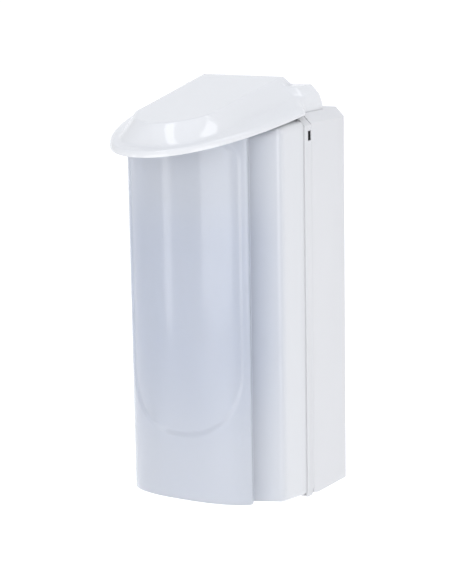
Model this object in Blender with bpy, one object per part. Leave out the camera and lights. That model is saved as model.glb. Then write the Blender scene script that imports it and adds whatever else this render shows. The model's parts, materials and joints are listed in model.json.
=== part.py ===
"""Wall-mounted dog waste bin: a chamfered wall housing, a milky container that tilts forward
on a rod in the housing's foot, a lift-out bucket inside it, and a hood-shaped lid on top.

Frame: the origin is the centre of the housing's wall face, +X to the right of somebody who
faces the bin, +Y into the wall, +Z up. Heights below are measured from the housing's foot.
"""

import math

import bmesh
import bpy
from mathutils import Vector

MM = 0.001
GAP = 0.3 * MM                     # clearance between pieces that touch or turn

# Wall housing
HOUSING_HEIGHT = 400 * MM
HOUSING_HALF_WIDTH = 92 * MM
HOUSING_DEPTH = 68.5 * MM
FRONT_BEVEL = (1.7 * MM, 7 * MM)   # how far the housing's front edge leans in, over what depth
HOUSING_WALL = 3 * MM
CORNER_CHAMFER = 9.5 * MM
FIXING_HOLE_RADIUS = 2.75 * MM
FIXING_HOLES = ((-55 * MM, 60 * MM), (55 * MM, 60 * MM), (-55 * MM, 340 * MM), (55 * MM, 340 * MM))

# Container: a cup with a narrow rear, full sides, round shoulders and a bulging front
CONTAINER_WALL = 2.4 * MM
CONTAINER_REAR = -HOUSING_DEPTH - 2 * MM
REAR_HALF_WIDTH = 76 * MM
SIDE_HALF_WIDTH = 89.6 * MM
SHOULDER_CENTRE = (80.5 * MM, -126.5 * MM)
SHOULDER_RADIUS = 8 * MM
SHOULDER_TURN = 57                 # degrees from the side wall to the shoulder's front face
GROOVE = (62.5 * MM, -149.5 * MM)
BULGE_HALF_WIDTH = 78 * MM
BULGE_DEPTH = 50 * MM
BULGE_CENTRE_Y = -136 * MM
BULGE_POWER = 2.5
BULGE_EDGE_X = 70 * MM             # where the bulge turns back into the groove beside it
TOP_CHAMFER = 8.5 * MM
FLOOR_SLOPE = 0.09                 # the floor rises towards the front

# Frame around the container's rear edge
FRAME_REAR = -HOUSING_DEPTH - 0.9 * MM
FRAME_HALF_WIDTH = 91 * MM
FRAME_FRONT = -83 * MM
FRAME_TOP = 398.3 * MM
FRAME_WALL = 2.1 * MM
NOTCH_LOW = 373.3 * MM
NOTCH_HIGH = 383.3 * MM
NOTCH_FRONT = -76 * MM

# Lid: its lower edge runs level over the housing, then falls towards the front
LID_WALL = 2.6 * MM
LID_BASE = 400.4 * MM
LID_SLOPE = 0.16
LID_SLOPE_START = -86.5 * MM
FACET_SLOPE = 0.18
LID_REAR = -24 * MM
LIP_CURVE = (95 * MM, 223.7 * MM, 2.12, -30 * MM)           # half width, depth, power, centre y
SHOULDER_CURVE = (60 * MM, 109.5 * MM, 2.6, -129.3 * MM)
FACET_CURVE = (42.5 * MM, 38 * MM, 1.57, -185.7 * MM)

# Joint axes, (x, y, height)
LID_AXIS = (0, -19.5 * MM, 404.6 * MM)
TILT_AXIS = (0, 6 * MM - HOUSING_DEPTH, 7 * MM)
HANDLE_AXIS = (0, -128 * MM, 315 * MM)
LATCH_HEIGHT = (NOTCH_LOW + NOTCH_HIGH) / 2

HINGE_PIN_RADIUS = 1.4 * MM
KNUCKLE_RADIUS = 4 * MM
KNUCKLE_EDGES = (-48 * MM, -29 * MM, -10 * MM, 10 * MM, 29 * MM, 48 * MM)
TILT_ROD_RADIUS = 2 * MM
HOOK_X = 52 * MM

BUCKET_HALF_WIDTH = 54 * MM
BUCKET_HALF_DEPTH = 50 * MM
BUCKET_HEIGHTS = (16 * MM, 310 * MM)
BUCKET_WALL = 1.8 * MM
BUCKET_TAPER = 0.9

FOOT = Vector((0, 0, -HOUSING_HEIGHT / 2))


# ---------------------------------------------------------------- materials

def make_material(name, colour, roughness, metallic=0.0):
    material = bpy.data.materials.new(name)
    material.use_nodes = True
    shader = material.node_tree.nodes["Principled BSDF"]
    shader.inputs["Base Color"].default_value = (*colour, 1)
    shader.inputs["Roughness"].default_value = roughness
    shader.inputs["Metallic"].default_value = metallic
    return material


# ---------------------------------------------------------------- meshes

def add_group(name, place):
    """An empty on a joint's axis, which carries the pieces that turn or slide there."""
    group = bpy.data.objects.new(name, None)
    group.location = Vector(place) + FOOT
    bpy.context.collection.objects.link(group)
    return group


def add_piece(name, vertices, faces, material, group, smooth_degrees=None):
    """A closed mesh from points given as x, y and height above the housing's foot."""
    mesh = bpy.data.meshes.new(name)
    shift = FOOT - group.location
    mesh.from_pydata([Vector(point) + shift for point in vertices], [], faces)
    shape = bmesh.new()
    shape.from_mesh(mesh)
    bmesh.ops.recalc_face_normals(shape, faces=shape.faces)
    shape.to_mesh(mesh)
    shape.free()
    if smooth_degrees:
        mesh.shade_smooth()
        mesh.set_sharp_from_angle(angle=math.radians(smooth_degrees))
    mesh.materials.append(material)
    piece = bpy.data.objects.new(name, mesh)
    piece.parent = group
    bpy.context.collection.objects.link(piece)
    return piece


def loft(rings, wrap=False):
    """Vertices and faces of a skin over rings with equally many points; caps unless wrap."""
    count = len(rings[0])
    vertices = [point for ring in rings for point in ring]
    faces = []
    for level in range(len(rings) if wrap else len(rings) - 1):
        lower = level * count
        upper = (level + 1) % len(rings) * count
        for i in range(count):
            j = (i + 1) % count
            faces.append((lower + i, lower + j, upper + j, upper + i))
    if not wrap:
        faces.append(tuple(range(count)))
        faces.append(tuple(range(len(vertices) - count, len(vertices))))
    return vertices, faces


def box(low, high):
    corners = [(low[0], low[1]), (high[0], low[1]), (high[0], high[1]), (low[0], high[1])]
    return loft([[(x, y, z) for x, y in corners] for z in (low[2], high[2])])


def circle(centre, radius, axis, sides):
    """Points round a centre, in the plane across axis 0, 1 or 2."""
    ring = []
    for i in range(sides):
        angle = 2 * math.pi * i / sides
        point = list(centre)
        point[(axis + 1) % 3] += radius * math.cos(angle)
        point[(axis + 2) % 3] += radius * math.sin(angle)
        ring.append(tuple(point))
    return ring


def cylinder(centre, radius, axis, start, end, sides=16):
    rings = []
    for place in (start, end):
        middle = list(centre)
        middle[axis] = place
        rings.append(circle(middle, radius, axis, sides))
    return loft(rings)


def merged(shapes):
    """Several separate solids as one list of vertices and faces."""
    vertices, faces = [], []
    for points, polygons in shapes:
        base = len(vertices)
        vertices += points
        faces += [tuple(base + i for i in polygon) for polygon in polygons]
    return vertices, faces


def cut_or_join(target, shapes, operation):
    """Booleans with hidden tool solids, in the target's own group."""
    for number, shape in enumerate(shapes):
        tool = add_piece(f"{target.name}_tool_{operation.lower()}_{number}", *shape,
                         target.data.materials[0], target.parent)
        tool.hide_render = True
        tool.display_type = "WIRE"
        modifier = target.modifiers.new(tool.name, "BOOLEAN")
        modifier.operation = operation
        modifier.object = tool


def offset(outline, distance):
    """The outline of (x, y) points, counter-clockwise, moved inwards."""
    moved = []
    for i, point in enumerate(outline):
        here = Vector(point)
        before = (here - Vector(outline[i - 1])).normalized()
        after = (Vector(outline[(i + 1) % len(outline)]) - here).normalized()
        inward = Vector((-before.y - after.y, before.x + after.x)).normalized()
        lean = max(0.5, inward.dot(Vector((-before.y, before.x))))
        moved.append(tuple(here + inward * distance / lean))
    return moved


def mirrored(half):
    """A counter-clockwise outline from its left half, rear to front."""
    return half + [(-x, y) for x, y in reversed(half) if abs(x) > 1e-9]


def superellipse_y(x, half_width, depth, power):
    return depth * max(0.0, 1 - (abs(x) / half_width) ** power) ** (1 / power)


# ---------------------------------------------------------------- outlines

def container_outline():
    """Plan of the container's outside: rear, side, shoulder, groove and bulge."""
    half = [(-REAR_HALF_WIDTH, CONTAINER_REAR), (-REAR_HALF_WIDTH, FRAME_FRONT + 2.4 * MM),
            (-SIDE_HALF_WIDTH, FRAME_FRONT - 0.4 * MM)]
    for step in range(5):
        angle = math.radians(SHOULDER_TURN) * step / 4
        half.append((-SHOULDER_CENTRE[0] - SHOULDER_RADIUS * math.cos(angle),
                     SHOULDER_CENTRE[1] - SHOULDER_RADIUS * math.sin(angle)))
    half += [(-GROOVE[0] - 2.5 * MM, GROOVE[1] + 1.4 * MM), (-GROOVE[0], GROOVE[1] - 0.8 * MM),
             (-65.4 * MM, -154 * MM), (-69 * MM, -159.5 * MM)]
    for step in range(9):
        angle = math.pi / 2 * step / 8
        x = BULGE_EDGE_X * math.cos(angle)
        y = BULGE_CENTRE_Y - superellipse_y(x, BULGE_HALF_WIDTH, BULGE_DEPTH, BULGE_POWER)
        half.append((-x, y))
    half[-1] = (0, half[-1][1])
    return mirrored(half)


def bucket_outline(scale):
    """Plan of the bucket: a closed superellipse."""
    ring = []
    for step in range(28):
        angle = 2 * math.pi * step / 28
        across, along = math.cos(angle), math.sin(angle)
        ring.append((math.copysign(abs(across) ** 0.7, across) * BUCKET_HALF_WIDTH * scale,
                     HANDLE_AXIS[1] + math.copysign(abs(along) ** 0.7, along) * BUCKET_HALF_DEPTH * scale))
    return ring


def chamfered_front(half_width, top, foot, chamfer, y):
    """Front view of the housing and of the frame: a rectangle with its top corners cut."""
    return [(-half_width, y, foot), (half_width, y, foot), (half_width, y, top - chamfer),
            (half_width - chamfer, y, top), (chamfer - half_width, y, top), (-half_width, y, top - chamfer)]


# ---------------------------------------------------------------- housing

def make_housing(group, material):
    def ring(inset, foot, y):
        return chamfered_front(HOUSING_HALF_WIDTH - inset, HOUSING_HEIGHT - inset, foot,
                               CORNER_CHAMFER - inset * 0.59, y)

    lean, depth = FRONT_BEVEL
    rings = [ring(0, 0, 0), ring(0, 0, depth - HOUSING_DEPTH), ring(lean, lean / 2, -HOUSING_DEPTH),
             ring(HOUSING_WALL, HOUSING_WALL, -HOUSING_DEPTH),
             ring(HOUSING_WALL, HOUSING_WALL, -HOUSING_WALL)]
    housing = add_piece("wall_housing", *loft(rings), material, group)
    holes = [cylinder((x, 0, z), FIXING_HOLE_RADIUS, 1, -2 * HOUSING_WALL, HOUSING_WALL)
             for x, z in FIXING_HOLES]
    cut_or_join(housing, [merged(holes)], "DIFFERENCE")


def make_screws(name, seats, axis, outward, head_radius, material, group):
    """A row of round screw heads, 1.4 mm thick: each seat is the centre of a head's underside."""
    for number, seat in enumerate(seats, 1):
        start, end = sorted((seat[axis], seat[axis] + outward * 1.4 * MM))
        add_piece(f"{name}_{number}", *cylinder(seat, head_radius, axis, start, end, 12), material,
                  group, 40)


def make_tilt_pivot(housing, container, steel, white, screw):
    """The rod in the housing's foot, its two brackets, and the container's two hooks on it."""
    x, y, z = TILT_AXIS
    rod_end = 84 * MM
    add_piece("tilt_rod", *cylinder((x, y, z), TILT_ROD_RADIUS, 0, -rod_end, rod_end, 16), steel,
              housing, 40)
    wall = HOUSING_HALF_WIDTH - HOUSING_WALL
    for side, name in ((-1, "left"), (1, "right")):
        low, high = sorted((side * 76 * MM, side * (wall - GAP)))
        foot = HOUSING_WALL + GAP
        block = box((low, y - 4.5 * MM, foot), (high, y + 12 * MM, 14 * MM))
        bracket = add_piece(f"rod_bracket_{name}", *block, white, housing)
        cut_or_join(bracket, [cylinder((x, y, z), TILT_ROD_RADIUS + GAP, 0, *sorted((side * 70 * MM,
                              side * 86 * MM)), 16)], "DIFFERENCE")
        low, high = side * HOOK_X - 8 * MM, side * HOOK_X + 8 * MM
        hook = add_piece(f"tilt_hook_{name}", *cylinder((x, y, z), 3.5 * MM, 0, low, high, 20), white,
                         container, 40)
        arm_top = 10.3 * MM
        arm = box((low, CONTAINER_REAR + GAP, z + 0.2 * MM), (high, y, arm_top))
        leaf = box((low, CONTAINER_REAR + GAP, z + 0.2 * MM),
                   (high, CONTAINER_REAR + GAP + 1.2 * MM, 34 * MM))
        cut_or_join(hook, [arm, leaf], "UNION")
        cut_or_join(hook, [cylinder((x, y, z), TILT_ROD_RADIUS + GAP, 0, low - MM, high + MM, 16)],
                    "DIFFERENCE")
    seat = CONTAINER_REAR + 2 * GAP + 1.2 * MM
    make_screws("hook_screw", [(side * HOOK_X + shift, seat, 26 * MM) for side in (-1, 1)
                               for shift in (-4 * MM, 4 * MM)], 1, 1, 2.2 * MM, screw, container)
    make_screws("bracket_screw", [(side * 82.5 * MM, y + 7 * MM, 14 * MM + GAP) for side in (-1, 1)],
                2, 1, 2.6 * MM, screw, housing)


# ---------------------------------------------------------------- container

def make_container(group, material):
    """A cup: the sloping floor, the walls, and the chamfered rim below the lid's lower edge."""
    outline = container_outline()
    inside = offset(outline, CONTAINER_WALL)

    def floor(y, lift):
        return 3 * MM + lift + FLOOR_SLOPE * max(0.0, FRAME_FRONT - y)

    def rim(y, drop):
        behind = max(0.0, y - TILT_AXIS[1] + 62 * MM)
        clearance = 0.8 * MM + behind ** 2 / (2 * HOUSING_HEIGHT)
        under_lid = LID_BASE + LID_SLOPE * min(0.0, y - LID_SLOPE_START) - clearance
        return min(under_lid, FRAME_TOP - FRAME_WALL - GAP) - drop

    def level(points, height, amounts):
        return [(x, y, height(y, amount)) for (x, y), amount in zip(points, amounts)]

    def leaning(distance):
        return [Vector(a).lerp(Vector(b), share) for a, b, share in
                zip(outline, offset(outline, distance), shares)]

    shares = [1 if y > GROOVE[1] else 0.25 for x, y in outline]
    cuts = [TOP_CHAMFER * share for share in shares]
    nothing = [0] * len(outline)
    bottom = offset(outline, 2 * MM)
    chamfered = leaning(TOP_CHAMFER)
    chamfered_inside = offset([tuple(point) for point in chamfered], 2 * MM)
    for ring in (bottom, chamfered, chamfered_inside):
        for i, (x, y) in enumerate(ring):
            ring[i] = (x, min(y, CONTAINER_REAR))
    rings = [level(bottom, floor, nothing), level(outline, floor, [2 * MM] * len(outline)),
             level(outline, rim, cuts), level(chamfered, rim, nothing),
             level(chamfered_inside, rim, nothing), level(inside, rim, [cut + MM for cut in cuts]),
             level(inside, floor, [CONTAINER_WALL] * len(outline))]
    add_piece("container_shell", *loft(rings), material, group, 35)


def make_frame(group, material):
    """The rim round the container's rear edge, eased at its foot so that it can tilt."""
    half = FRAME_HALF_WIDTH
    rear_low, rear_mid, ease = FRAME_REAR - 4.3 * MM, FRAME_REAR - 0.7 * MM, TILT_AXIS[2]

    def ring(inset, y, y_foot):
        points = chamfered_front(half - inset, FRAME_TOP - inset, inset, CORNER_CHAMFER - inset * 0.59, y)
        left, right = points[0], points[1]
        feet = [(left[0], y_foot, left[2]), (right[0], y_foot, right[2])]
        eased = [(right[0], rear_mid if y_foot != y else y, ease), (right[0], y, 12 * MM)]
        return feet + eased + points[2:] + [(left[0], y, 12 * MM),
                                           (left[0], rear_mid if y_foot != y else y, ease)]

    rings = [ring(0, FRAME_REAR, rear_low), ring(0, FRAME_FRONT, FRAME_FRONT),
             ring(FRAME_WALL, FRAME_FRONT, FRAME_FRONT), ring(FRAME_WALL, FRAME_REAR, rear_low)]
    frame = add_piece("container_frame", *loft(rings, wrap=True), material, group)
    notches = [box((side * half - 5 * MM, NOTCH_FRONT, NOTCH_LOW),
                   (side * half + 5 * MM, FRAME_REAR + 5 * MM, NOTCH_HIGH)) for side in (-1, 1)]
    cut_or_join(frame, [merged(notches)], "DIFFERENCE")


def make_bucket(group, material, steel):
    low, high = BUCKET_HEIGHTS
    thin = 1 - BUCKET_WALL / BUCKET_HALF_WIDTH
    rings = [[(x, y, z) for x, y in bucket_outline(scale)]
             for scale, z in ((BUCKET_TAPER - 0.02, low), (BUCKET_TAPER, low + 2 * MM), (1.0, high - 3 * MM),
                              (1.02, high - 3 * MM), (1.02, high), (thin, high),
                              (BUCKET_TAPER * thin, low + BUCKET_WALL))]
    add_piece("liner_bucket", *loft(rings), material, group, 35)
    studs = []
    for side in (-1, 1):
        inner = side * (BUCKET_HALF_WIDTH * 1.02 + GAP)
        studs.append(cylinder(HANDLE_AXIS, 1.7 * MM, 0, *sorted((inner, side * 65 * MM)), 12))
    for number, name in enumerate(("left", "right")):
        side = 2 * number - 1
        stud = add_piece(f"handle_stud_{name}", *studs[number], steel, group, 40)
        x = side * (BUCKET_HALF_WIDTH * 1.02 + GAP)
        lug = box((min(x, x + side * 1.6 * MM), HANDLE_AXIS[1] - 4 * MM, 303 * MM),
                  (max(x, x + side * 1.6 * MM), HANDLE_AXIS[1] + 4 * MM, 318 * MM))
        cut_or_join(stud, [lug], "UNION")
    ring = []
    turns, wire = 36, 1.1 * MM
    for step in range(turns):
        angle = 2 * math.pi * step / turns
        centre = Vector((0, HANDLE_AXIS[1], 299 * MM))
        outward = Vector((math.copysign(abs(math.cos(angle)) ** 0.7, math.cos(angle)) * BUCKET_HALF_WIDTH,
                          math.copysign(abs(math.sin(angle)) ** 0.7, math.sin(angle)) * BUCKET_HALF_DEPTH, 0))
        middle = centre + outward * (1 + (wire + GAP + 0.2 * MM) / BUCKET_HALF_DEPTH)
        across = outward.normalized()
        ring.append([tuple(middle + across * wire * math.cos(a) + Vector((0, 0, wire * math.sin(a))))
                     for a in (2 * math.pi * k / 6 for k in range(6))])
    add_piece("bag_ring", *loft(ring, wrap=True), steel, group, 60)


def make_handle(group, steel):
    """The bucket's bail: two eyes on the studs and a bow that lies on the rim's front half."""
    thickness, eye_radius = 2 * MM, 4.2 * MM
    x_eye = BUCKET_HALF_WIDTH * 1.02 + 2.6 * MM
    bow = []
    steps = 20
    for step in range(steps + 1):
        angle = math.pi * step / steps
        middle = Vector((x_eye + thickness / 2, 0, 0)) * math.cos(angle)
        middle += Vector((0, HANDLE_AXIS[1] - 51 * MM * math.sin(angle), HANDLE_AXIS[2]))
        across = Vector((math.cos(angle) * 51, -math.sin(angle) * 62, 0)).normalized() * thickness / 2
        bow.append([tuple(middle + across * a + Vector((0, 0, b * 2 * MM)))
                    for a, b in ((-1, -1), (1, -1), (1, 1), (-1, 1))])
    handle = add_piece("bucket_handle", *loft(bow), steel, group)
    for side in (-1, 1):
        low, high = sorted((side * x_eye, side * (x_eye + thickness)))
        cut_or_join(handle, [cylinder(HANDLE_AXIS, eye_radius, 0, low - 0.01 * MM, high + 0.01 * MM, 20)],
                    "UNION")
    ends = [cylinder(HANDLE_AXIS, 1.7 * MM + GAP, 0, *sorted((side * 55 * MM, side * 70 * MM)), 16)
            for side in (-1, 1)]
    cut_or_join(handle, [merged(ends)], "DIFFERENCE")


# ---------------------------------------------------------------- latches

def make_latch(side, name, group, housing, container, dark, steel, screw):
    """A recessed push button in the notch, its tongue, its spring, and the plate beside it."""
    z = LATCH_HEIGHT

    def spread(a, b):
        return sorted((side * a, side * b))

    x0, x1 = spread(83.2 * MM, 87.8 * MM)
    button = add_piece(f"latch_button_{name}", *box((x0, NOTCH_FRONT + 0.5 * MM, z - 4.4 * MM),
                       (x1, FRAME_REAR - 0.2 * MM, z + 4.4 * MM)), dark, group)
    x0, x1 = spread(84.2 * MM, 87.2 * MM)
    tongue = box((x0, FRAME_REAR - 3 * MM, z - 3 * MM), (x1, 7 * MM - HOUSING_DEPTH, z + 3 * MM))
    cut_or_join(button, [tongue], "UNION")
    coil = []
    turns, per_turn, wire, radius = 3, 10, 0.3 * MM, 2.2 * MM
    start, end = 76.9 * MM, 82.5 * MM
    for step in range(turns * per_turn + 1):
        angle = 2 * math.pi * step / per_turn
        along = start + (end - start) * step / (turns * per_turn)
        radial = Vector((0, math.cos(angle), math.sin(angle)))
        middle = Vector((side * along, -73.2 * MM, z)) + radial * radius
        coil.append([tuple(middle + radial * wire * math.cos(a) + Vector((wire * math.sin(a), 0, 0)))
                     for a in (2 * math.pi * k / 5 for k in range(5))])
    add_piece(f"latch_spring_{name}", *loft(coil), steel, container, 60)
    x0, x1 = spread(87.6 * MM, 88.7 * MM)
    add_piece(f"catch_plate_{name}", *box((x0, -65 * MM, z - 9 * MM), (x1, -47 * MM, z + 9 * MM)),
              steel, housing)
    seat = side * (87.6 * MM - GAP)
    make_screws(f"catch_screw_{name}", [(seat, -52 * MM, z - 4 * MM), (seat, -52 * MM, z + 4 * MM)],
                0, -side, 2 * MM, screw, housing)


# ---------------------------------------------------------------- lid

def falling(level, slope, start):
    """A height that is level behind start and falls towards the front."""
    return lambda y: level + slope * min(0.0, y - start)


def superellipse_x(y, half_width, depth, power, centre_y):
    return half_width * max(0.0, 1 - (max(0.0, centre_y - y) / depth) ** power) ** (1 / power)


def lid_outline(block, side, curve, join_y, curve_y, side_steps, front_steps):
    """Left half of a lid ring: two block corners, the side from join_y to curve_y, the front."""
    half_width, depth, power, centre_y = curve
    half = list(block)
    for step in range(side_steps):
        y = join_y + (curve_y - join_y) * step / side_steps
        half.append((-side(y), y))
    first = math.asin(max(0.0, (centre_y - curve_y) / depth) ** (power / 2))
    for step in range(front_steps + 1):
        angle = first + (math.pi / 2 - first) * step / front_steps
        half.append((-half_width * abs(math.cos(angle)) ** (2 / power),
                     centre_y - depth * math.sin(angle) ** (2 / power)))
    half[-1] = (0, half[-1][1])
    return half


def between(first, second, part):
    return [(a[0] + (b[0] - a[0]) * part, a[1] + (b[1] - a[1]) * part) for a, b in zip(first, second)]


def lid_rings(side_steps, front_steps):
    """The hood's key outlines, from the lower edge up to the facet, with their heights."""
    rear = LID_REAR

    def lip_side(y):
        return superellipse_x(y, *LIP_CURVE)

    def shoulder_side(y):
        straight = SHOULDER_CURVE[0] + 8.5 * MM * (y - SHOULDER_CURVE[3]) / (65.3 * MM)
        return straight if y > SHOULDER_CURVE[3] else superellipse_x(y, *SHOULDER_CURVE)

    def facet_side(y):
        return FACET_CURVE[0] + 4.7 * MM * (y - FACET_CURVE[3]) / (136.8 * MM)

    steps = (side_steps, front_steps)
    lip = lid_outline([(-80 * MM, rear), (-80 * MM, -62 * MM)], lip_side, LIP_CURVE,
                      -86 * MM, -140 * MM, *steps)
    shoulder = lid_outline([(-76 * MM, rear), (-76 * MM, -50 * MM)], shoulder_side, SHOULDER_CURVE,
                           -66 * MM, -150 * MM, *steps)
    facet = lid_outline([(-47.2 * MM, -49 * MM), (-47 * MM, -54 * MM)], facet_side, FACET_CURVE,
                        -62 * MM, FACET_CURVE[3] - 0.1 * MM, *steps)
    brim = between(lip, shoulder, 0.16)
    skirt = [(-66.5 * MM, rear), (-66.5 * MM, -47 * MM)] + between(facet, shoulder, 0.6)[2:]
    step = [(-56 * MM, -44.5 * MM), (-54 * MM, -48 * MM)] + between(facet, shoulder, 0.3)[2:]
    lip_height = falling(LID_BASE, LID_SLOPE, LID_SLOPE_START)
    brim_height = falling(LID_BASE + 6 * MM, LID_SLOPE, LID_SLOPE_START)
    shoulder_height = falling(415.4 * MM, 0.19, -64 * MM)
    facet_height = falling(434.4 * MM, FACET_SLOPE, -49 * MM)
    rings = [[(x, y, lip_height(y)) for x, y in mirrored(lip)],
             [(x, y, brim_height(y)) for x, y in mirrored(brim)],
             [(x, y, shoulder_height(y)) for x, y in mirrored(shoulder)]]
    facet_points = [(x, y, facet_height(y)) for x, y in mirrored(facet)]
    block = (0, 1, len(facet_points) - 2, len(facet_points) - 1)
    for ring, part, block_height in ((skirt, 0.6, 425 * MM), (step, 0.3, 425.5 * MM)):
        points = []
        for i, (x, y) in enumerate(mirrored(ring)):
            z = facet_points[i][2] + (rings[2][i][2] - facet_points[i][2]) * part
            points.append((x, y, block_height if i in block else z))
        rings.append(points)
    return rings + [facet_points]


def make_lid(group, material):
    """The hood: lower edge, brim, shoulder line, skirt and top facet, and the block behind."""
    outer = lid_rings(5, 13)
    inner = []
    for number, ring in enumerate(outer):
        drop = 0 if number == 0 else 2.2 * MM
        plan = offset([(x, y) for x, y, z in ring], LID_WALL)
        inner.append([(x, y, z - drop) for (x, y), (a, b, z) in zip(plan, ring)])
    lid = add_piece("lid_shell", *loft(list(reversed(outer)) + inner), material, group, 25)
    raised = box((-52 * MM, -30 * MM, LID_BASE - MM), (52 * MM, -20 * MM, 402.6 * MM))
    cut_or_join(lid, [raised], "DIFFERENCE")


def make_hinge(housing, lid, steel, screw):
    """A butt hinge along the lid's rear: a leaf on the housing's top, one up the lid's back."""
    x, y, z = LID_AXIS
    half = KNUCKLE_EDGES[-1]
    rear = -24 * MM + GAP
    fixed = add_piece("hinge_leaf_housing", *box((-half, -44 * MM, HOUSING_HEIGHT + GAP),
                      (half, -15.8 * MM, HOUSING_HEIGHT + GAP + 1.3 * MM)), steel, housing)
    moving = add_piece("hinge_leaf_lid", *box((-half, rear, z - 1.5 * MM), (half, rear + 1.3 * MM, 418 * MM)),
                       steel, lid)
    for number, (start, end) in enumerate(zip(KNUCKLE_EDGES, KNUCKLE_EDGES[1:])):
        owner, other = (fixed, moving) if number % 2 == 0 else (moving, fixed)
        knuckle = cylinder((x, y, z), KNUCKLE_RADIUS, 0, start + GAP / 2, end - GAP / 2, 20)
        reach = KNUCKLE_RADIUS + GAP
        room = box((start - GAP / 2, y - reach, z - reach), (end + GAP / 2, y + reach, z + reach))
        cut_or_join(other, [room], "DIFFERENCE")
        cut_or_join(owner, [knuckle], "UNION")
    bore = cylinder((x, y, z), HINGE_PIN_RADIUS + GAP, 0, -half - MM, half + MM, 16)
    cut_or_join(fixed, [bore], "DIFFERENCE")
    cut_or_join(moving, [bore], "DIFFERENCE")
    add_piece("hinge_pin", *cylinder((x, y, z), HINGE_PIN_RADIUS, 0, -half - MM, half + MM, 16), steel,
              housing, 40)
    seat = HOUSING_HEIGHT + 2 * GAP + 1.3 * MM
    make_screws("housing_leaf_screw", [(place, -37 * MM, seat) for place in (-36 * MM, 0, 36 * MM)],
                2, 1, 2.6 * MM, screw, housing)
    seat = rear + GAP + 1.3 * MM
    make_screws("lid_leaf_screw", [(place, seat, 413.5 * MM) for place in (-36 * MM, 0, 36 * MM)],
                1, 1, 2.6 * MM, screw, lid)


def main():
    for item in list(bpy.data.objects):
        bpy.data.objects.remove(item, do_unlink=True)

    satin_white = make_material("satin_white_plastic", (0.80, 0.80, 0.81), 0.45)
    gloss_white = make_material("gloss_white_plastic", (0.86, 0.87, 0.88), 0.12)
    milky = make_material("milky_plastic", (0.78, 0.81, 0.86), 0.38)
    bucket_grey = make_material("bucket_plastic", (0.42, 0.46, 0.54), 0.5)
    dark = make_material("latch_plastic", (0.03, 0.03, 0.035), 0.5)
    steel = make_material("bright_steel", (0.62, 0.62, 0.63), 0.3, 1.0)
    screw = make_material("screw_steel", (0.55, 0.55, 0.57), 0.35, 1.0)

    housing = add_group("housing_origin", (0, 0, HOUSING_HEIGHT / 2))
    lid = add_group("lid_axis", LID_AXIS)
    container = add_group("tilt_axis", TILT_AXIS)
    handle = add_group("handle_axis", HANDLE_AXIS)

    make_housing(housing, satin_white)
    make_tilt_pivot(housing, container, steel, satin_white, screw)
    make_container(container, milky)
    make_frame(container, satin_white)
    make_bucket(container, bucket_grey, steel)
    make_handle(handle, steel)
    for side, name in ((-1, "left"), (1, "right")):
        latch = add_group(f"latch_axis_{name}", (side * 87.8 * MM, -73.2 * MM, LATCH_HEIGHT))
        make_latch(side, name, latch, housing, container, dark, steel, screw)
    make_hinge(housing, lid, steel, screw)
    make_lid(lid, gloss_white)


main()
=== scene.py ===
"""Looks of the wall-mounted dog waste bin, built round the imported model.

The hood, the milky container, the bucket and the screw heads get fine surfaces here. The larger
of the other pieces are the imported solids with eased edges, and the rest only get new materials.
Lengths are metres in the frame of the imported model: the origin is the centre of the wall face and
-Y is the front. Heights in the outlines are measured from the housing's foot.
"""

import json
import math

import bmesh
import bpy
from mathutils import Matrix, Vector


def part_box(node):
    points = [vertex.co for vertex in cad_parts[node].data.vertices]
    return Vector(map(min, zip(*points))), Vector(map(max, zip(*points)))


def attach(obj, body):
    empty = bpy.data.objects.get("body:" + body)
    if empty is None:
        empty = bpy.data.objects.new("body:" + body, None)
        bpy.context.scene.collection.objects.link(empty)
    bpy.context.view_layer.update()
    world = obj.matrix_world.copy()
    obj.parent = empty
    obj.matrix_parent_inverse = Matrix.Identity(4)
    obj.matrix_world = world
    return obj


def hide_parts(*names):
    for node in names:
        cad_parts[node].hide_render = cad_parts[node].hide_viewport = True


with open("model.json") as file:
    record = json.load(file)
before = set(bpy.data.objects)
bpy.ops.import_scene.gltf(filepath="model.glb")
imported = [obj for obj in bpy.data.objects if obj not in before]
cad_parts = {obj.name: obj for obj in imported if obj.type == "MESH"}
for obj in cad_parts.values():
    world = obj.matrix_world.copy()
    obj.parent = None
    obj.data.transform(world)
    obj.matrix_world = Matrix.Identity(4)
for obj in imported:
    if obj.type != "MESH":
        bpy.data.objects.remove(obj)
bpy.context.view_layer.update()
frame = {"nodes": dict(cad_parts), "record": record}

MM = 0.001
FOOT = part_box("wall_housing")[0].z
BODIES = frame["record"]["behaviour"]["bodies"]
BODY_OF = {node: body for body, nodes in BODIES.items() for node in nodes}
SLOT_OF = {part["node"]: part["material_slot"] for part in frame["record"]["subparts"]}

# Container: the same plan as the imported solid
REAR_HALF_WIDTH = 76 * MM
CONTAINER_REAR = -70.5 * MM
SIDE_HALF_WIDTH = 89.6 * MM
SIDE_FRONT = -83.1 * MM
SHOULDER_CENTRE = (80.5 * MM, -126.5 * MM)
SHOULDER_RADIUS = 8 * MM
SHOULDER_TURN = 57                 # degrees from the side wall to the shoulder's front face
GROOVE = (62.5 * MM, -149.5 * MM)
BULGE_HALF_WIDTH = 78 * MM
BULGE_DEPTH = 50 * MM
BULGE_CENTRE_Y = -136 * MM
BULGE_POWER = 2.5
BULGE_EDGE_X = 70 * MM
RIM_CHAMFER = 8.5 * MM
REAR_RIM_HEIGHT = 395.9 * MM
RIM_CLEARANCE = 0.8 * MM
TILT_CLEARANCE_START = -124.5 * MM   # behind this, the rim needs more room to tilt past the lid
TILT_CLEARANCE_RADIUS = 400 * MM
FLOOR_HEIGHT = 3 * MM
FLOOR_SLOPE = 0.09
FLOOR_SLOPE_START = -83 * MM
FLOOR_ROUNDING = 2 * MM
CONTAINER_WALL = 2.4 * MM
CONTAINER_ROWS = 150

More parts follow.
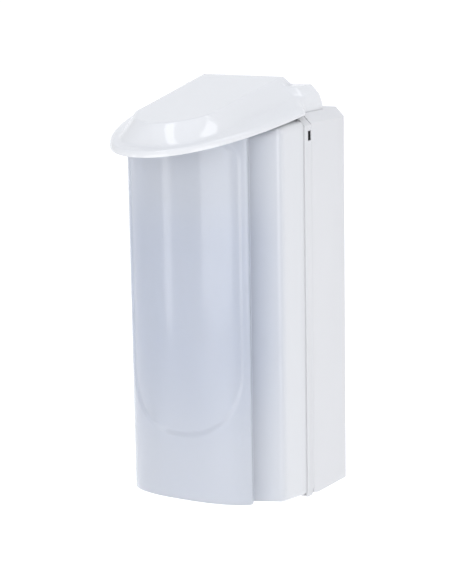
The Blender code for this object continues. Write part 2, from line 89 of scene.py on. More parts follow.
# Sunken window in the front of the bulge
WINDOW_HALF_WIDTH = 66.5 * MM
WINDOW_CORNER_HEIGHT = 152 * MM
WINDOW_ARCH = 72 * MM
WINDOW_TOP_CORNER_HEIGHT = 362 * MM
WINDOW_TOP_ARCH = 26 * MM
WINDOW_POWER = 2.3
WINDOW_DEPTH = 1.52 * MM
WINDOW_BEVEL = 2.6 * MM

# Lid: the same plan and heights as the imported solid
LID_BASE = 400.12 * MM
LID_SLOPE = 0.16
LID_SLOPE_START = -86.5 * MM
LID_WALL = 2.4 * MM
SHOULDER_LINE = (415.4 * MM, 0.19, -64 * MM)                # height, slope, where it starts
FACET_LINE = (434.4 * MM, 0.18, -49 * MM)
LID_REAR = -24 * MM
LIP_CURVE = (95 * MM, 223.7 * MM, 2.12, -30 * MM)           # half width, depth, power, centre y
SHOULDER_CURVE = (60 * MM, 109.5 * MM, 2.6, -129.3 * MM)
FACET_CURVE = (42.5 * MM, 38 * MM, 1.57, -185.7 * MM)
SHOULDER_FLARE = 8.5 / 65.3        # how fast the outline widens towards the rear
FACET_FLARE = 4.7 / 136.8
SKIRT_SHARE = 0.6                  # how far the skirt's outlines lie from facet to shoulder
STEP_SHARE = 0.3
BLOCK_STEPS = 6
SWAY_STEPS = 6
LID_SIDE_STEPS = 14
LID_FRONT_STEPS = 40
LID_ROUNDING = (0, 1.2 * MM, 3 * MM, 2.4 * MM, 2 * MM, 2 * MM, 1.6 * MM, 0)

# Bucket, screws and eased edges
BUCKET_Y = -128 * MM
BUCKET_HALF_WIDTH = 54 * MM
BUCKET_HALF_DEPTH = 50 * MM
BUCKET_HEIGHTS = (16 * MM, 310 * MM)
BUCKET_WALL = 1.8 * MM
BUCKET_TAPER = 0.9
BUCKET_BEADS = (70 * MM, 130 * MM, 190 * MM, 250 * MM)
BUCKET_POINTS = 112
BUCKET_ROWS = 120
SCREW_POINTS = 24
SCREW_DOME = ((1, 0), (1, 0.3), (0.95, 0.52), (0.84, 0.74), (0.7, 0.9), (0.56, 0.99), (0.5, 1))
SCREW_SOCKET = ((0.44, 0.97), (0.44, 0.35))
SCREW_DIRECTIONS = {"bracket_screw": 1, "hook_screw": 1, "catch_screw_left": 1,
                    "catch_screw_right": -1, "housing_leaf_screw": 1, "lid_leaf_screw": 1}
EASED_EDGES = {"wall_housing": 0.3 * MM, "container_frame": 0.25 * MM, "bucket_handle": 0.5 * MM,
               "hinge_leaf_housing": 0.25 * MM, "hinge_leaf_lid": 0.25 * MM,
               "rod_bracket_left": 0.5 * MM, "rod_bracket_right": 0.5 * MM,
               "tilt_hook_left": 0.3 * MM, "tilt_hook_right": 0.3 * MM,
               "latch_button_left": 0.4 * MM, "latch_button_right": 0.4 * MM,
               "catch_plate_left": 0.3 * MM, "catch_plate_right": 0.3 * MM}

# Milky plastic, in metres from the centre of the wall face
MILKY_SIDE_Y = -0.116
MILKY_FRONT_Y = -0.148
# Painted light: the front's colour turns paler towards its foot and its top, standing in for light that
# comes through where the bucket doesn't stand behind it
MILKY_FOOT_PAINTED_LIGHT = (-0.02, -0.16, 0.75)  # turns pale from the first height to the second, and how far
MILKY_TOP_PAINTED_LIGHT = (0.07, 0.15, 0.55)
MILKY_SIDE_COLOUR = (0.615, 0.62, 0.638, 1)
# the painted light colour of the paler foot and top of the front
MILKY_PAINTED_LIGHT_COLOUR = (0.76, 0.785, 0.84, 1)

# Camera, with its turns in degrees, and light
CAMERA_TURN = 31.2
CAMERA_LIFT = 11.5
CAMERA_ROLL = -1.0
CAMERA_DISTANCE = 2.16764
CAMERA_TARGET = (-47.28 * MM, 196 * MM)                     # to the right of the middle, height
CAMERA_LENS = 36 * 2000 / 584
LIGHT_DISTANCE = 2.3
FLOOR_DROP = 0.35
FLOOR_FRONT = -6
FLOOR_HALF_WIDTH = 9
BACKDROP_START = 2.5
BACKDROP_RADIUS = 2.5
BACKDROP_HEIGHT = 9
HORIZON_COLOUR = (0.74, 0.74, 0.74, 1)
ZENITH_COLOUR = (1.06, 1.11, 1.21, 1)


# ---------------------------------------------------------------- materials

def node_material(name, colour, roughness, metallic=0.0):
    material = bpy.data.materials.new(name)
    material.use_nodes = True
    shader = material.node_tree.nodes["Principled BSDF"]
    shader.inputs["Base Color"].default_value = (*colour, 1)
    shader.inputs["Roughness"].default_value = roughness
    shader.inputs["Metallic"].default_value = metallic
    return material, material.node_tree, shader


def add_noise(tree, scale, detail=3.0, stretch=(1, 1, 1)):
    """A noise in the object's own metres; stretch gives streaks."""
    place = tree.nodes.new("ShaderNodeTexCoord")
    mapping = tree.nodes.new("ShaderNodeMapping")
    mapping.inputs["Scale"].default_value = stretch
    noise = tree.nodes.new("ShaderNodeTexNoise")
    noise.inputs["Scale"].default_value = scale
    noise.inputs["Detail"].default_value = detail
    tree.links.new(place.outputs["Object"], mapping.inputs["Vector"])
    tree.links.new(mapping.outputs["Vector"], noise.inputs["Vector"])
    return noise.outputs["Fac"]


def add_axis(tree, coordinates, axis):
    place = tree.nodes.new("ShaderNodeTexCoord")
    axes = tree.nodes.new("ShaderNodeSeparateXYZ")
    tree.links.new(place.outputs[coordinates], axes.inputs["Vector"])
    return axes.outputs[axis]


def add_range(tree, value, start=0.0, end=1.0, low=0.0, high=1.0, easing="LINEAR"):
    """The value mapped from start-end to low-high."""
    node = tree.nodes.new("ShaderNodeMapRange")
    node.interpolation_type = easing
    node.inputs["From Min"].default_value = start
    node.inputs["From Max"].default_value = end
    node.inputs["To Min"].default_value = low
    node.inputs["To Max"].default_value = high
    tree.links.new(value, node.inputs["Value"])
    return node.outputs["Result"]


def add_blend(tree, share, first, second):
    """A mix of two colours; each is four numbers or another node's output."""
    node = tree.nodes.new("ShaderNodeMix")
    node.data_type = "RGBA"
    for name, colour in (("A", first), ("B", second)):
        if isinstance(colour, tuple):
            node.inputs[name].default_value = colour
        else:
            tree.links.new(colour, node.inputs[name])
    tree.links.new(share, node.inputs["Factor"])
    return node.outputs["Result"]


def vary_roughness(tree, shader, noise, low, high):
    tree.links.new(add_range(tree, noise, low=low, high=high), shader.inputs["Roughness"])


def vary_colour(tree, shader, noise, dark, light):
    tree.links.new(add_blend(tree, noise, (*dark, 1), (*light, 1)), shader.inputs["Base Color"])


def add_bump(tree, shader, noise, strength, height):
    bump = tree.nodes.new("ShaderNodeBump")
    bump.inputs["Strength"].default_value = strength
    bump.inputs["Distance"].default_value = height
    tree.links.new(noise, bump.inputs["Height"])
    tree.links.new(bump.outputs["Normal"], shader.inputs["Normal"])


def satin_plastic():
    """Spark-eroded white moulding: a fine even grain."""
    material, tree, shader = node_material("satin_white_plastic", (0.585, 0.585, 0.598), 0.42)
    vary_colour(tree, shader, add_noise(tree, 9, 2), (0.57, 0.57, 0.583), (0.6, 0.6, 0.613))
    grain = add_noise(tree, 1900, 2)
    vary_roughness(tree, shader, grain, 0.36, 0.5)
    add_bump(tree, shader, grain, 0.25, 0.00008)
    return material


def gloss_plastic():
    """Polished white moulding with a trace of orange peel."""
    material, tree, shader = node_material("gloss_white_plastic", (0.63, 0.634, 0.65), 0.1)
    vary_colour(tree, shader, add_noise(tree, 7, 2), (0.62, 0.625, 0.64), (0.645, 0.65, 0.665))
    peel = add_noise(tree, 160, 1)
    vary_roughness(tree, shader, peel, 0.05, 0.1)
    add_bump(tree, shader, peel, 0.06, 0.00006)
    return material


def milky_plastic():
    """Frosted moulding: the front lets light through, the sides are nearly opaque.

    The front's colour is painted paler at its foot and at its top. This painted light stands in for the
    glow through the plastic where the bucket doesn't stand close behind it.
    """
    material, tree, shader = node_material("milky_plastic", (0.68, 0.72, 0.8), 0.34)
    clouds = add_noise(tree, 11, 2, (1, 1, 0.4))
    cloudy = add_blend(tree, clouds, (0.6, 0.65, 0.76, 1), (0.69, 0.725, 0.81, 1))
    # Painted light: the front's colour is lightened towards its foot and its top
    height = add_axis(tree, "Object", "Z")
    pale = tree.nodes.new("ShaderNodeMath")
    pale.operation = "MAXIMUM"
    for socket, (start, end, amount) in zip(pale.inputs, (MILKY_FOOT_PAINTED_LIGHT, MILKY_TOP_PAINTED_LIGHT)):
        tree.links.new(add_range(tree, height, start, end, 0, amount, "SMOOTHSTEP"), socket)
    front = add_blend(tree, pale.outputs["Value"], cloudy, MILKY_PAINTED_LIGHT_COLOUR)
    depth = add_axis(tree, "Object", "Y")
    front_share = add_range(tree, depth, MILKY_SIDE_Y, MILKY_FRONT_Y, easing="SMOOTHSTEP")
    tree.links.new(add_blend(tree, front_share, MILKY_SIDE_COLOUR, front), shader.inputs["Base Color"])
    tree.links.new(add_range(tree, front_share, low=0.08, high=0.5),
                   shader.inputs["Transmission Weight"])
    grain = add_noise(tree, 1200, 2)
    vary_roughness(tree, shader, grain, 0.3, 0.38)
    add_bump(tree, shader, grain, 0.12, 0.00004)
    shader.inputs["IOR"].default_value = 1.46
    shader.inputs["Coat Weight"].default_value = 0.8
    shader.inputs["Coat Roughness"].default_value = 0.09
    return material


def bucket_plastic():
    material, tree, shader = node_material("bucket_plastic", (0.3, 0.36, 0.48), 0.5)
    vary_colour(tree, shader, add_noise(tree, 30, 3), (0.27, 0.33, 0.45), (0.33, 0.39, 0.51))
    grain = add_noise(tree, 1500, 2)
    vary_roughness(tree, shader, grain, 0.42, 0.58)
    add_bump(tree, shader, grain, 0.3, 0.0001)
    return material


# Near-black latch button plastic: the button's own dark colour, which also serves as painted shade for
# the deep notch around it
def near_black_painted_shade_plastic():
    material, tree, shader = node_material("latch_plastic", (0.03, 0.03, 0.033), 0.5)
    vary_colour(tree, shader, add_noise(tree, 80, 2), (0.022, 0.022, 0.025), (0.04, 0.04, 0.043))
    grain = add_noise(tree, 2200, 2)
    vary_roughness(tree, shader, grain, 0.4, 0.6)
    add_bump(tree, shader, grain, 0.4, 0.0001)
    return material


def drawn_steel(name, colour, stretch):
    """Bright steel with streaks along its drawing direction."""
    material, tree, shader = node_material(name, colour, 0.28, 1.0)
    streaks = add_noise(tree, 900, 3, stretch)
    vary_roughness(tree, shader, streaks, 0.2, 0.38)
    add_bump(tree, shader, streaks, 0.15, 0.00005)
    dark = tuple(0.9 * part for part in colour)
    vary_colour(tree, shader, add_noise(tree, 60, 2), dark, colour)
    return material


MATERIALS = {
    "satin_white": satin_plastic(),
    "gloss_white": gloss_plastic(),
    "milky": milky_plastic(),
    "bucket_grey": bucket_plastic(),
    "latch_dark": near_black_painted_shade_plastic(),
    "bright_steel": drawn_steel("bright_steel", (0.62, 0.62, 0.63), (0.06, 1, 1)),
    "screw_steel": drawn_steel("screw_steel", (0.57, 0.57, 0.59), (1, 1, 1)),
}


# ---------------------------------------------------------------- mesh helpers

def add_piece(name, mesh, node, smooth_degrees=35):
    """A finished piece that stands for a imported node: its body, slot and material."""
    mesh.shade_smooth()
    mesh.set_sharp_from_angle(angle=math.radians(smooth_degrees))
    mesh.materials.clear()
    mesh.materials.append(MATERIALS[SLOT_OF[node]])
    piece = bpy.data.objects.new(name, mesh)
    bpy.context.scene.collection.objects.link(piece)
    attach(piece, BODY_OF[node])
    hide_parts(node)
    return piece


def mesh_from(name, vertices, faces):
    mesh = bpy.data.meshes.new(name)
    mesh.from_pydata(vertices, [], faces)
    shape = bmesh.new()
    shape.from_mesh(mesh)
    bmesh.ops.recalc_face_normals(shape, faces=shape.faces)
    shape.to_mesh(mesh)
    shape.free()
    return mesh


def skin(rings):
    """Vertices and faces of a solid over closed rings, from one end ring to the other."""
    count = len(rings[0])
    vertices = [(x, y, z + FOOT) for ring in rings for x, y, z in ring]
    faces = [tuple(range(count))]
    for lower in range(0, len(vertices) - count, count):
        for i in range(count):
            j = (i + 1) % count
            faces.append((lower + i, lower + j, lower + count + j, lower + count + i))
    faces.append(tuple(range(len(vertices) - count, len(vertices))))
    return vertices, faces


def add_eased(node, width):
    """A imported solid's own shape with its edges rounded."""
    mesh = frame["nodes"][node].data.copy()
    shape = bmesh.new()
    shape.from_mesh(mesh)
    bmesh.ops.remove_doubles(shape, verts=shape.verts, dist=0.00001)
    bmesh.ops.dissolve_limit(shape, angle_limit=math.radians(1), verts=shape.verts, edges=shape.edges)
    for edge in shape.edges:
        edge.smooth = True
    shape.to_mesh(mesh)
    shape.free()
    piece = add_piece(node + "_eased", mesh, node, 60)
    bevel = piece.modifiers.new("edges", "BEVEL")
    bevel.width = width
    bevel.segments = 3
    bevel.limit_method = "ANGLE"
    bevel.angle_limit = math.radians(28)
    bevel.use_clamp_overlap = True
    bevel.harden_normals = True


def inset(outline, distance):
    """The counter-clockwise outline of (x, y) points, moved inwards."""
    moved = []
    for i, point in enumerate(outline):
        here = Vector(point)
        before = (here - Vector(outline[i - 1])).normalized()
        after = (Vector(outline[(i + 1) % len(outline)]) - here).normalized()
        inward = Vector((-before.y - after.y, before.x + after.x)).normalized()
        lean = max(0.5, inward.dot(Vector((-before.y, before.x))))
        moved.append(tuple(here + inward * distance / lean))
    return moved


def mirrored(half):
    return half + [(-x, y) for x, y in reversed(half) if abs(x) > 1e-9]


def smooth_step(value):
    value = min(1.0, max(0.0, value))
    return value * value * (3 - 2 * value)


def rounded_path(points, radii, steps):
    """A polyline through points whose inner corners are rounded off with the given reach."""
    path = [points[0]]
    for i in range(1, len(points) - 1):
        here = points[i]
        back, ahead = points[i - 1] - here, points[i + 1] - here
        reach = min(radii[i], back.length * 0.48, ahead.length * 0.48)
        start, end = here + back.normalized() * reach, here + ahead.normalized() * reach
        for step in range(steps + 1):
            t = step / steps
            path.append(start * (1 - t) ** 2 + here * 2 * t * (1 - t) + end * t * t)
    path.append(points[-1])
    return path


# ---------------------------------------------------------------- container

def container_outline():
    """Plan of the container's outside, from the rear left corner round the front."""
    half = [(-REAR_HALF_WIDTH, CONTAINER_REAR), (-REAR_HALF_WIDTH, -80.6 * MM),
            (-SIDE_HALF_WIDTH, SIDE_FRONT), (-89.4 * MM, -98 * MM), (-89 * MM, -112 * MM)]
    steps = 10
    for step in range(steps + 1):
        angle = math.radians(SHOULDER_TURN) * step / steps
        half.append((-SHOULDER_CENTRE[0] - SHOULDER_RADIUS * math.cos(angle),
                     SHOULDER_CENTRE[1] - SHOULDER_RADIUS * math.sin(angle)))
    valley = [Vector((-74 * MM, -140.6 * MM)), Vector((-GROOVE[0] - 0.6 * MM, GROOVE[1] + 1.4 * MM)),
              Vector((-GROOVE[0] - 1.2 * MM, GROOVE[1] - 2 * MM)), Vector((-69.4 * MM, -159 * MM))]
    half += [tuple(point) for point in rounded_path(valley, (0, 6 * MM, 5 * MM, 0), 6)]
    steps = 46
    for step in range(steps + 1):
        x = BULGE_EDGE_X * math.cos(math.pi / 2 * step / steps)
        rise = max(0.0, 1 - (x / BULGE_HALF_WIDTH) ** BULGE_POWER) ** (1 / BULGE_POWER)
        half.append((-x, BULGE_CENTRE_Y - BULGE_DEPTH * rise))
    half[-1] = (0, half[-1][1])
    return mirrored(half)


def window_depth(x, y, height):
    """How far the front is sunk at a place: a window with a low arch and rounded top corners."""
    if y > BULGE_CENTRE_Y - 20 * MM:
        return 0.0
    drop = max(0.0, WINDOW_CORNER_HEIGHT - height) / WINDOW_ARCH
    rise = max(0.0, height - WINDOW_TOP_CORNER_HEIGHT) / WINDOW_TOP_ARCH
    parts = (abs(x) / WINDOW_HALF_WIDTH, drop, rise)
    reach = sum(part ** WINDOW_POWER for part in parts) ** (1 / WINDOW_POWER)
    return WINDOW_DEPTH * smooth_step((1 - reach) * WINDOW_HALF_WIDTH / WINDOW_BEVEL)


def floor_height(y, lift):
    return FLOOR_HEIGHT + lift + FLOOR_SLOPE * max(0.0, FLOOR_SLOPE_START - y)


def rim_height(y, drop):
    """The rim follows the lid's lower edge, with the room that it needs to tilt past it."""
    behind = max(0.0, y - TILT_CLEARANCE_START)
    clearance = RIM_CLEARANCE + behind ** 2 / (2 * TILT_CLEARANCE_RADIUS)
    under_lid = LID_BASE + LID_SLOPE * min(0.0, y - LID_SLOPE_START) - clearance
    return min(under_lid, REAR_RIM_HEIGHT) - drop


def rim_share(y):
    """The rim is turned in widely over the shoulders and only a little over the front."""
    return 1 - 0.75 * smooth_step((GROOVE[1] + 3 * MM - y) / (10 * MM))


def cut_at_rear(ring):
    """A ring of (x, y, height) points, none of them behind the container's rear edge."""
    return [(x, min(y, CONTAINER_REAR), height) for x, y, height in ring]


def container_foot(outline):
    """The rounded edge round the floor."""
    rings = []
    steps = 5
    for step in range(steps):
        turn = math.pi / 2 * step / steps
        lift = FLOOR_ROUNDING * (1 - math.cos(turn))
        plan = inset(outline, FLOOR_ROUNDING * (1 - math.sin(turn)))
        rings.append(cut_at_rear([(x, y, floor_height(y, lift)) for x, y in plan]))
    return rings


def container_wall(outline, inside):
    """The outside of the wall with the sunken window."""
    rings = []
    for row in range(CONTAINER_ROWS + 1):
        part = row / CONTAINER_ROWS
        ring = []
        for (x, y), (inner_x, inner_y) in zip(outline, inside):
            top = rim_height(y, RIM_CHAMFER * rim_share(y))
            height = floor_height(y, FLOOR_ROUNDING) * (1 - part) + top * part
            sink = window_depth(x, y, height) / CONTAINER_WALL
            ring.append((x + (inner_x - x) * sink, y + (inner_y - y) * sink, height))
        rings.append(ring)
    return rings


def container_rim(outline):
    """The turned-in rim, the step inside it and the inside down to the floor."""
    shares = [rim_share(y) for x, y in outline]

    def leaning(distance):
        return [tuple(Vector(start).lerp(Vector(end), share))
                for start, end, share in zip(outline, inset(outline, distance), shares)]

    rings = []
    steps = 6
    for step in range(1, steps + 1):
        turn = math.pi / 2 * step / steps
        plan = leaning(RIM_CHAMFER * (1 - math.cos(turn)))
        drop = RIM_CHAMFER * (1 - math.sin(turn))
        rings.append(cut_at_rear([(x, y, rim_height(y, drop * share))
                                   for (x, y), share in zip(plan, shares)]))
    plan = inset(leaning(RIM_CHAMFER), 2 * MM)
    rings.append(cut_at_rear([(x, y, rim_height(y, 0)) for x, y in plan]))
    plan = inset(outline, CONTAINER_WALL + 0.2 * MM)
    rings.append([(x, y, rim_height(y, RIM_CHAMFER * share + MM))
                  for (x, y), share in zip(plan, shares)])
    rings.append([(x, y, floor_height(y, CONTAINER_WALL)) for x, y in plan])
    return rings


def make_container():
    outline = container_outline()
    inside = inset(outline, CONTAINER_WALL)
    rings = container_foot(outline) + container_wall(outline, inside) + container_rim(outline)
    add_piece("milky_container", mesh_from("milky_container", *skin(rings)), "container_shell", 50)


# ---------------------------------------------------------------- bucket and screws

def bucket_outline(scale):
    ring = []
    for step in range(BUCKET_POINTS):
        angle = 2 * math.pi * step / BUCKET_POINTS
        across, along = math.cos(angle), math.sin(angle)
        ring.append((math.copysign(abs(across) ** 0.7, across) * BUCKET_HALF_WIDTH * scale,
                     BUCKET_Y + math.copysign(abs(along) ** 0.7, along) * BUCKET_HALF_DEPTH * scale))
    return ring


def make_bucket():
    """A tapered liner with a rounded foot, four stiffening beads and a rolled rim."""
    low, high = BUCKET_HEIGHTS
    profile = [(BUCKET_TAPER - 0.05, low), (BUCKET_TAPER - 0.012, low + 0.6 * MM),
               (BUCKET_TAPER - 0.001, low + 2.6 * MM)]
    for row in range(1, BUCKET_ROWS):
        height = low + 3 * MM + (high - low - 7 * MM) * row / BUCKET_ROWS
        scale = BUCKET_TAPER + (1 - BUCKET_TAPER) * (height - low) / (high - low)
        bead = max(math.exp(-((height - place) / (2.2 * MM)) ** 2) for place in BUCKET_BEADS)
        profile.append((scale - 0.006 * bead, height))
    profile += [(1.012, high - 3.2 * MM), (1.019, high - 2.7 * MM), (1.02, high - 1.5 * MM),
                (1.017, high - 0.4 * MM), (1.008, high), (0.977, high), (0.968, high - 1.2 * MM),
                (BUCKET_TAPER * 0.967, low + BUCKET_WALL + 3 * MM),
                (BUCKET_TAPER * 0.95, low + BUCKET_WALL)]
    rings = [[(x, y, height) for x, y in bucket_outline(scale)] for scale, height in profile]
    add_piece("tapered_bucket", mesh_from("tapered_bucket", *skin(rings)), "liner_bucket", 50)


def make_screw(node):
    """A domed screw head with a six-sided socket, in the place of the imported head."""
    low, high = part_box(node)
    size = high - low
    axis = list(size).index(min(size))
    side, up = [i for i in range(3) if i != axis]
    outward = SCREW_DIRECTIONS[node.rstrip("0123456789_")]
    radius = max(size) / 2
    foot = (low + high) / 2
    foot[axis] = low[axis] if outward > 0 else high[axis]
    profile = [(part, height, False) for part, height in SCREW_DOME]
    profile += [(part, height, True) for part, height in SCREW_SOCKET]
    rings = []
    for part, height, six_sided in profile:
        ring = []
        for k in range(SCREW_POINTS):
            angle = 2 * math.pi * k / SCREW_POINTS
            reach = radius * part
            if six_sided:
                reach *= math.cos(math.pi / 6) / math.cos(angle % (math.pi / 3) - math.pi / 6)
            point = foot.copy()
            point[axis] += outward * height * size[axis]
            point[side] += reach * math.cos(angle)
            point[up] += reach * math.sin(angle)
            ring.append((point.x, point.y, point.z - FOOT))
        rings.append(ring)
    name = node + "_head"
    add_piece(name, mesh_from(name, *skin(rings)), node, 40)


# ---------------------------------------------------------------- lid

def falling(level, slope, start):
    """A height that is level behind start and falls towards the front."""
    return lambda y: level + slope * min(0.0, y - start)


def superellipse_x(y, half_width, depth, power, centre_y):
    return half_width * max(0.0, 1 - (max(0.0, centre_y - y) / depth) ** power) ** (1 / power)


def block_edge(first, last):
    return [tuple(Vector(first).lerp(Vector(last), step / BLOCK_STEPS))
            for step in range(BLOCK_STEPS + 1)]


def lid_outline(block, side, curve, join_y, curve_y):
    """Left half of a lid ring: the block's corner run, the side from join_y to curve_y, the front."""
    half_width, depth, power, centre_y = curve
    half = block_edge(*block)
    start = Vector(half[-1])
    goal = Vector((-side(join_y), join_y))
    for step in range(1, SWAY_STEPS):
        part = step / SWAY_STEPS
        half.append((start.x + (goal.x - start.x) * smooth_step(part),
                     start.y + (goal.y - start.y) * part))
    for step in range(LID_SIDE_STEPS):
        y = join_y + (curve_y - join_y) * step / LID_SIDE_STEPS
        half.append((-side(y), y))
    first = math.asin(max(0.0, (centre_y - curve_y) / depth) ** (power / 2))
    for step in range(LID_FRONT_STEPS + 1):
        angle = first + (math.pi / 2 - first) * step / LID_FRONT_STEPS
        half.append((-half_width * abs(math.cos(angle)) ** (2 / power),
                     centre_y - depth * math.sin(angle) ** (2 / power)))
    half[-1] = (0, half[-1][1])
    return half


def between(first, second, part):
    return [(a[0] + (b[0] - a[0]) * part, a[1] + (b[1] - a[1]) * part) for a, b in zip(first, second)]


def block_run(first, last, ring):
    """A ring whose first stretch is the block's straight edge, swaying over into the hood's side."""
    points = block_edge(first, last)
    for step in range(1, SWAY_STEPS):
        part = smooth_step(step / SWAY_STEPS)
        here = ring[BLOCK_STEPS + step]
        points.append((last[0] + (here[0] - last[0]) * part, here[1]))
    return points + ring[BLOCK_STEPS + SWAY_STEPS:]


def lid_rings():
    """The hood's key outlines, from the lower edge up to the facet, with their heights."""
    def lip_side(y):
        return superellipse_x(y, *LIP_CURVE)

    def shoulder_side(y):
        straight = SHOULDER_CURVE[0] + SHOULDER_FLARE * (y - SHOULDER_CURVE[3])
        return straight if y > SHOULDER_CURVE[3] else superellipse_x(y, *SHOULDER_CURVE)

    def facet_side(y):
        return FACET_CURVE[0] + FACET_FLARE * (y - FACET_CURVE[3])

    lip = lid_outline([(-80 * MM, LID_REAR), (-80 * MM, -62 * MM)], lip_side, LIP_CURVE,
                      -86 * MM, -140 * MM)
    shoulder = lid_outline([(-76 * MM, LID_REAR), (-76 * MM, -50 * MM)], shoulder_side,
                           SHOULDER_CURVE, -66 * MM, -150 * MM)
    facet = lid_outline([(-47.2 * MM, -49 * MM), (-47 * MM, -54 * MM)], facet_side, FACET_CURVE,
                        -62 * MM, FACET_CURVE[3] - 0.1 * MM)
    brim = between(lip, shoulder, 0.16)
    skirt = block_run((-66.5 * MM, LID_REAR), (-66.5 * MM, -47 * MM),
                      between(facet, shoulder, SKIRT_SHARE))
    step = block_run((-56 * MM, -44.5 * MM), (-54 * MM, -48 * MM),
                     between(facet, shoulder, STEP_SHARE))
    lip_height = falling(LID_BASE, LID_SLOPE, LID_SLOPE_START)
    brim_height = falling(LID_BASE + 6 * MM, LID_SLOPE, LID_SLOPE_START)
    shoulder_height = falling(*SHOULDER_LINE)
    facet_height = falling(*FACET_LINE)
    rings = [[(x, y, lip_height(y)) for x, y in mirrored(lip)],
             [(x, y, brim_height(y)) for x, y in mirrored(brim)],
             [(x, y, shoulder_height(y)) for x, y in mirrored(shoulder)]]
    facet_points = [(x, y, facet_height(y)) for x, y in mirrored(facet)]
    for ring, part, block_height in ((skirt, SKIRT_SHARE, 425 * MM), (step, STEP_SHARE, 425.5 * MM)):
        points = []
        for i, (x, y) in enumerate(mirrored(ring)):
            z = facet_points[i][2] + (rings[2][i][2] - facet_points[i][2]) * part
            steps_in = min(i, len(facet_points) - 1 - i) - BLOCK_STEPS
            fade = smooth_step(steps_in / SWAY_STEPS)
            points.append((x, y, block_height + (z - block_height) * fade))
        rings.append(points)
    return rings + [facet_points]


def make_lid():
    """The hood: lip, brim, shoulder line, skirt and top facet over the rear block."""
    keys = [[Vector(point) for point in ring] for ring in lid_rings()]
    band = [p.lerp(q, 0.12) + Vector((0, 0, 1.8 * MM)) for p, q in zip(keys[0], keys[1])]
    keys.insert(1, band)
    facet = falling(*FACET_LINE)
    middle = Vector((0, -125 * MM, 0))
    columns = []
    for i in range(len(keys[0])):
        points = [key[i] for key in keys]
        end = points[-1].lerp(middle, 0.14)
        end.z = facet(end.y)
        columns.append(rounded_path(points + [end], LID_ROUNDING, 4))
    outer = [[tuple(column[k]) for column in columns] for k in range(len(columns[0]))]
    under = []
    for number, key in enumerate([keys[0]] + keys[2:]):
        drop = 0 if number == 0 else 2.2 * MM
        plan = inset([(p.x, p.y) for p in key], LID_WALL)
        under.append([(x, y, p.z - drop) for (x, y), p in zip(plan, key)])
    rings = list(reversed(outer)) + under
    add_piece("lid_hood", mesh_from("lid_hood", *skin(rings)), "lid_shell", 60)


# ---------------------------------------------------------------- camera, light and stage

def make_camera():
    """The view from the right and a little above, at a long focal length."""
    turn, lift, roll = (math.radians(angle) for angle in (CAMERA_TURN, CAMERA_LIFT, CAMERA_ROLL))
    back = Vector((math.sin(turn) * math.cos(lift), -math.cos(turn) * math.cos(lift), math.sin(lift)))
    right = Vector((math.cos(turn), math.sin(turn), 0))
    up = back.cross(right)
    across = right * math.cos(roll) + up * math.sin(roll)
    upright = up * math.cos(roll) - right * math.sin(roll)
    target = right * CAMERA_TARGET[0] + Vector((0, 0, CAMERA_TARGET[1] + FOOT))
    camera = bpy.data.objects.new("camera", bpy.data.cameras.new("camera"))
    camera.data.lens = CAMERA_LENS
    camera.matrix_world = Matrix((across, upright, back)).transposed().to_4x4()
    camera.location = target + back * CAMERA_DISTANCE
    bpy.context.scene.collection.objects.link(camera)
    bpy.context.scene.camera = camera


def add_light(name, place, facing, width, height, power):
    light = bpy.data.lights.new(name, "AREA")
    light.shape = "RECTANGLE"
    light.size = width
    light.size_y = height
    light.energy = power
    lamp = bpy.data.objects.new(name, light)
    lamp.location = place
    lamp.rotation_euler = facing
    bpy.context.scene.collection.objects.link(lamp)


def add_upright_light(name, azimuth, spread, power):
    """A tall softbox around the bin, at degrees from straight ahead towards +X."""
    low, high = -0.5, 1.1
    turn = math.radians(azimuth)
    place = (LIGHT_DISTANCE * math.sin(turn), -0.1 - LIGHT_DISTANCE * math.cos(turn), (low + high) / 2)
    width = 2 * LIGHT_DISTANCE * math.tan(math.radians(spread / 2))
    add_light(name, place, (math.pi / 2, 0, turn), width, high - low, power)


def add_high_light(name, azimuth, elevation, width, height, power):
    """A softbox that looks down at the lid."""
    turn, rise = math.radians(azimuth), math.radians(elevation)
    lid = Vector((0, -0.15, 0.2))
    towards = Vector((math.sin(turn) * math.cos(rise), -math.cos(turn) * math.cos(rise), math.sin(rise)))
    add_light(name, lid + LIGHT_DISTANCE * towards, (math.pi / 2 - rise, 0, turn), width, height, power)


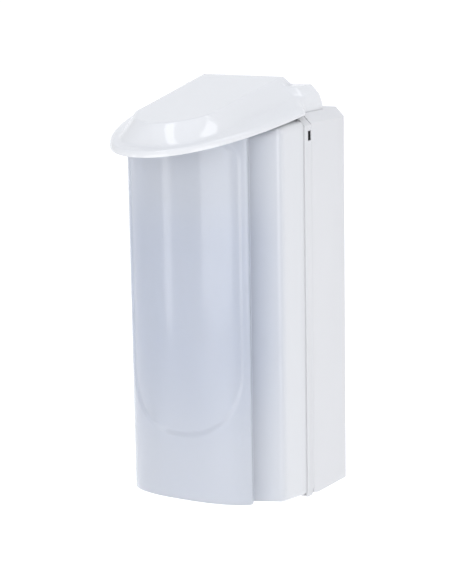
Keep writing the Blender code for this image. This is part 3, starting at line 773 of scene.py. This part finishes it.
def make_floor():
    """A pale floor that sweeps up into a backdrop."""
    shape = bmesh.new()
    profile = [(FLOOR_FRONT, 0), (BACKDROP_START, 0)]
    steps = 16
    for step in range(1, steps + 1):
        turn = math.pi / 2 * step / steps
        profile.append((BACKDROP_START + BACKDROP_RADIUS * math.sin(turn),
                        BACKDROP_RADIUS * (1 - math.cos(turn))))
    profile.append((BACKDROP_START + BACKDROP_RADIUS, BACKDROP_HEIGHT))
    rows = [[shape.verts.new((x, y, z)) for x in (-FLOOR_HALF_WIDTH, FLOOR_HALF_WIDTH)]
            for y, z in profile]
    for low, high in zip(rows, rows[1:]):
        shape.faces.new((low[0], low[1], high[1], high[0]))
    mesh = bpy.data.meshes.new("floor")
    shape.to_mesh(mesh)
    shape.free()
    mesh.shade_smooth()
    floor = bpy.data.objects.new("floor", mesh)
    floor.location = (0, 0, FOOT - FLOOR_DROP)
    material, tree, shader = node_material("pale_floor", (0.9, 0.9, 0.9), 0.8)
    vary_roughness(tree, shader, add_noise(tree, 4), 0.75, 0.85)
    shader.inputs["Emission Color"].default_value = (1, 1, 1, 1)
    shader.inputs["Emission Strength"].default_value = 0.22
    mesh.materials.append(material)
    bpy.context.scene.collection.objects.link(floor)


def make_sky():
    """A white sky that is brightest overhead."""
    world = bpy.data.worlds.new("studio")
    world.use_nodes = True
    tree = world.node_tree
    height = add_range(tree, add_axis(tree, "Generated", "Z"), 0.3, 1)
    colour = add_blend(tree, height, HORIZON_COLOUR, ZENITH_COLOUR)
    tree.links.new(colour, tree.nodes["Background"].inputs["Color"])
    bpy.context.scene.world = world
    bpy.context.scene.view_settings.view_transform = "Standard"


def make_lights():
    """Tall softboxes mirrored in the container, and two high ones mirrored in the lid's skirt."""
    add_upright_light("left_softbox", -36, 5, 2.5)
    add_upright_light("front_softbox", 9, 46, 16)
    add_upright_light("right_softbox", 78, 24, 9)
    add_high_light("top_softbox", -3, 70, 0.42, 1.2, 4.4)
    add_high_light("side_softbox", 118, 54, 0.5, 0.8, 3.2)


def main():
    make_camera()
    make_floor()
    make_sky()
    make_lights()
    for node, packed in frame["nodes"].items():
        packed.data.materials.clear()
        packed.data.materials.append(MATERIALS[SLOT_OF[node]])
    make_container()
    make_lid()
    make_bucket()
    for node in frame["nodes"]:
        if "_screw_" in node:
            make_screw(node)
    for node, width in EASED_EDGES.items():
        add_eased(node, width)


main()
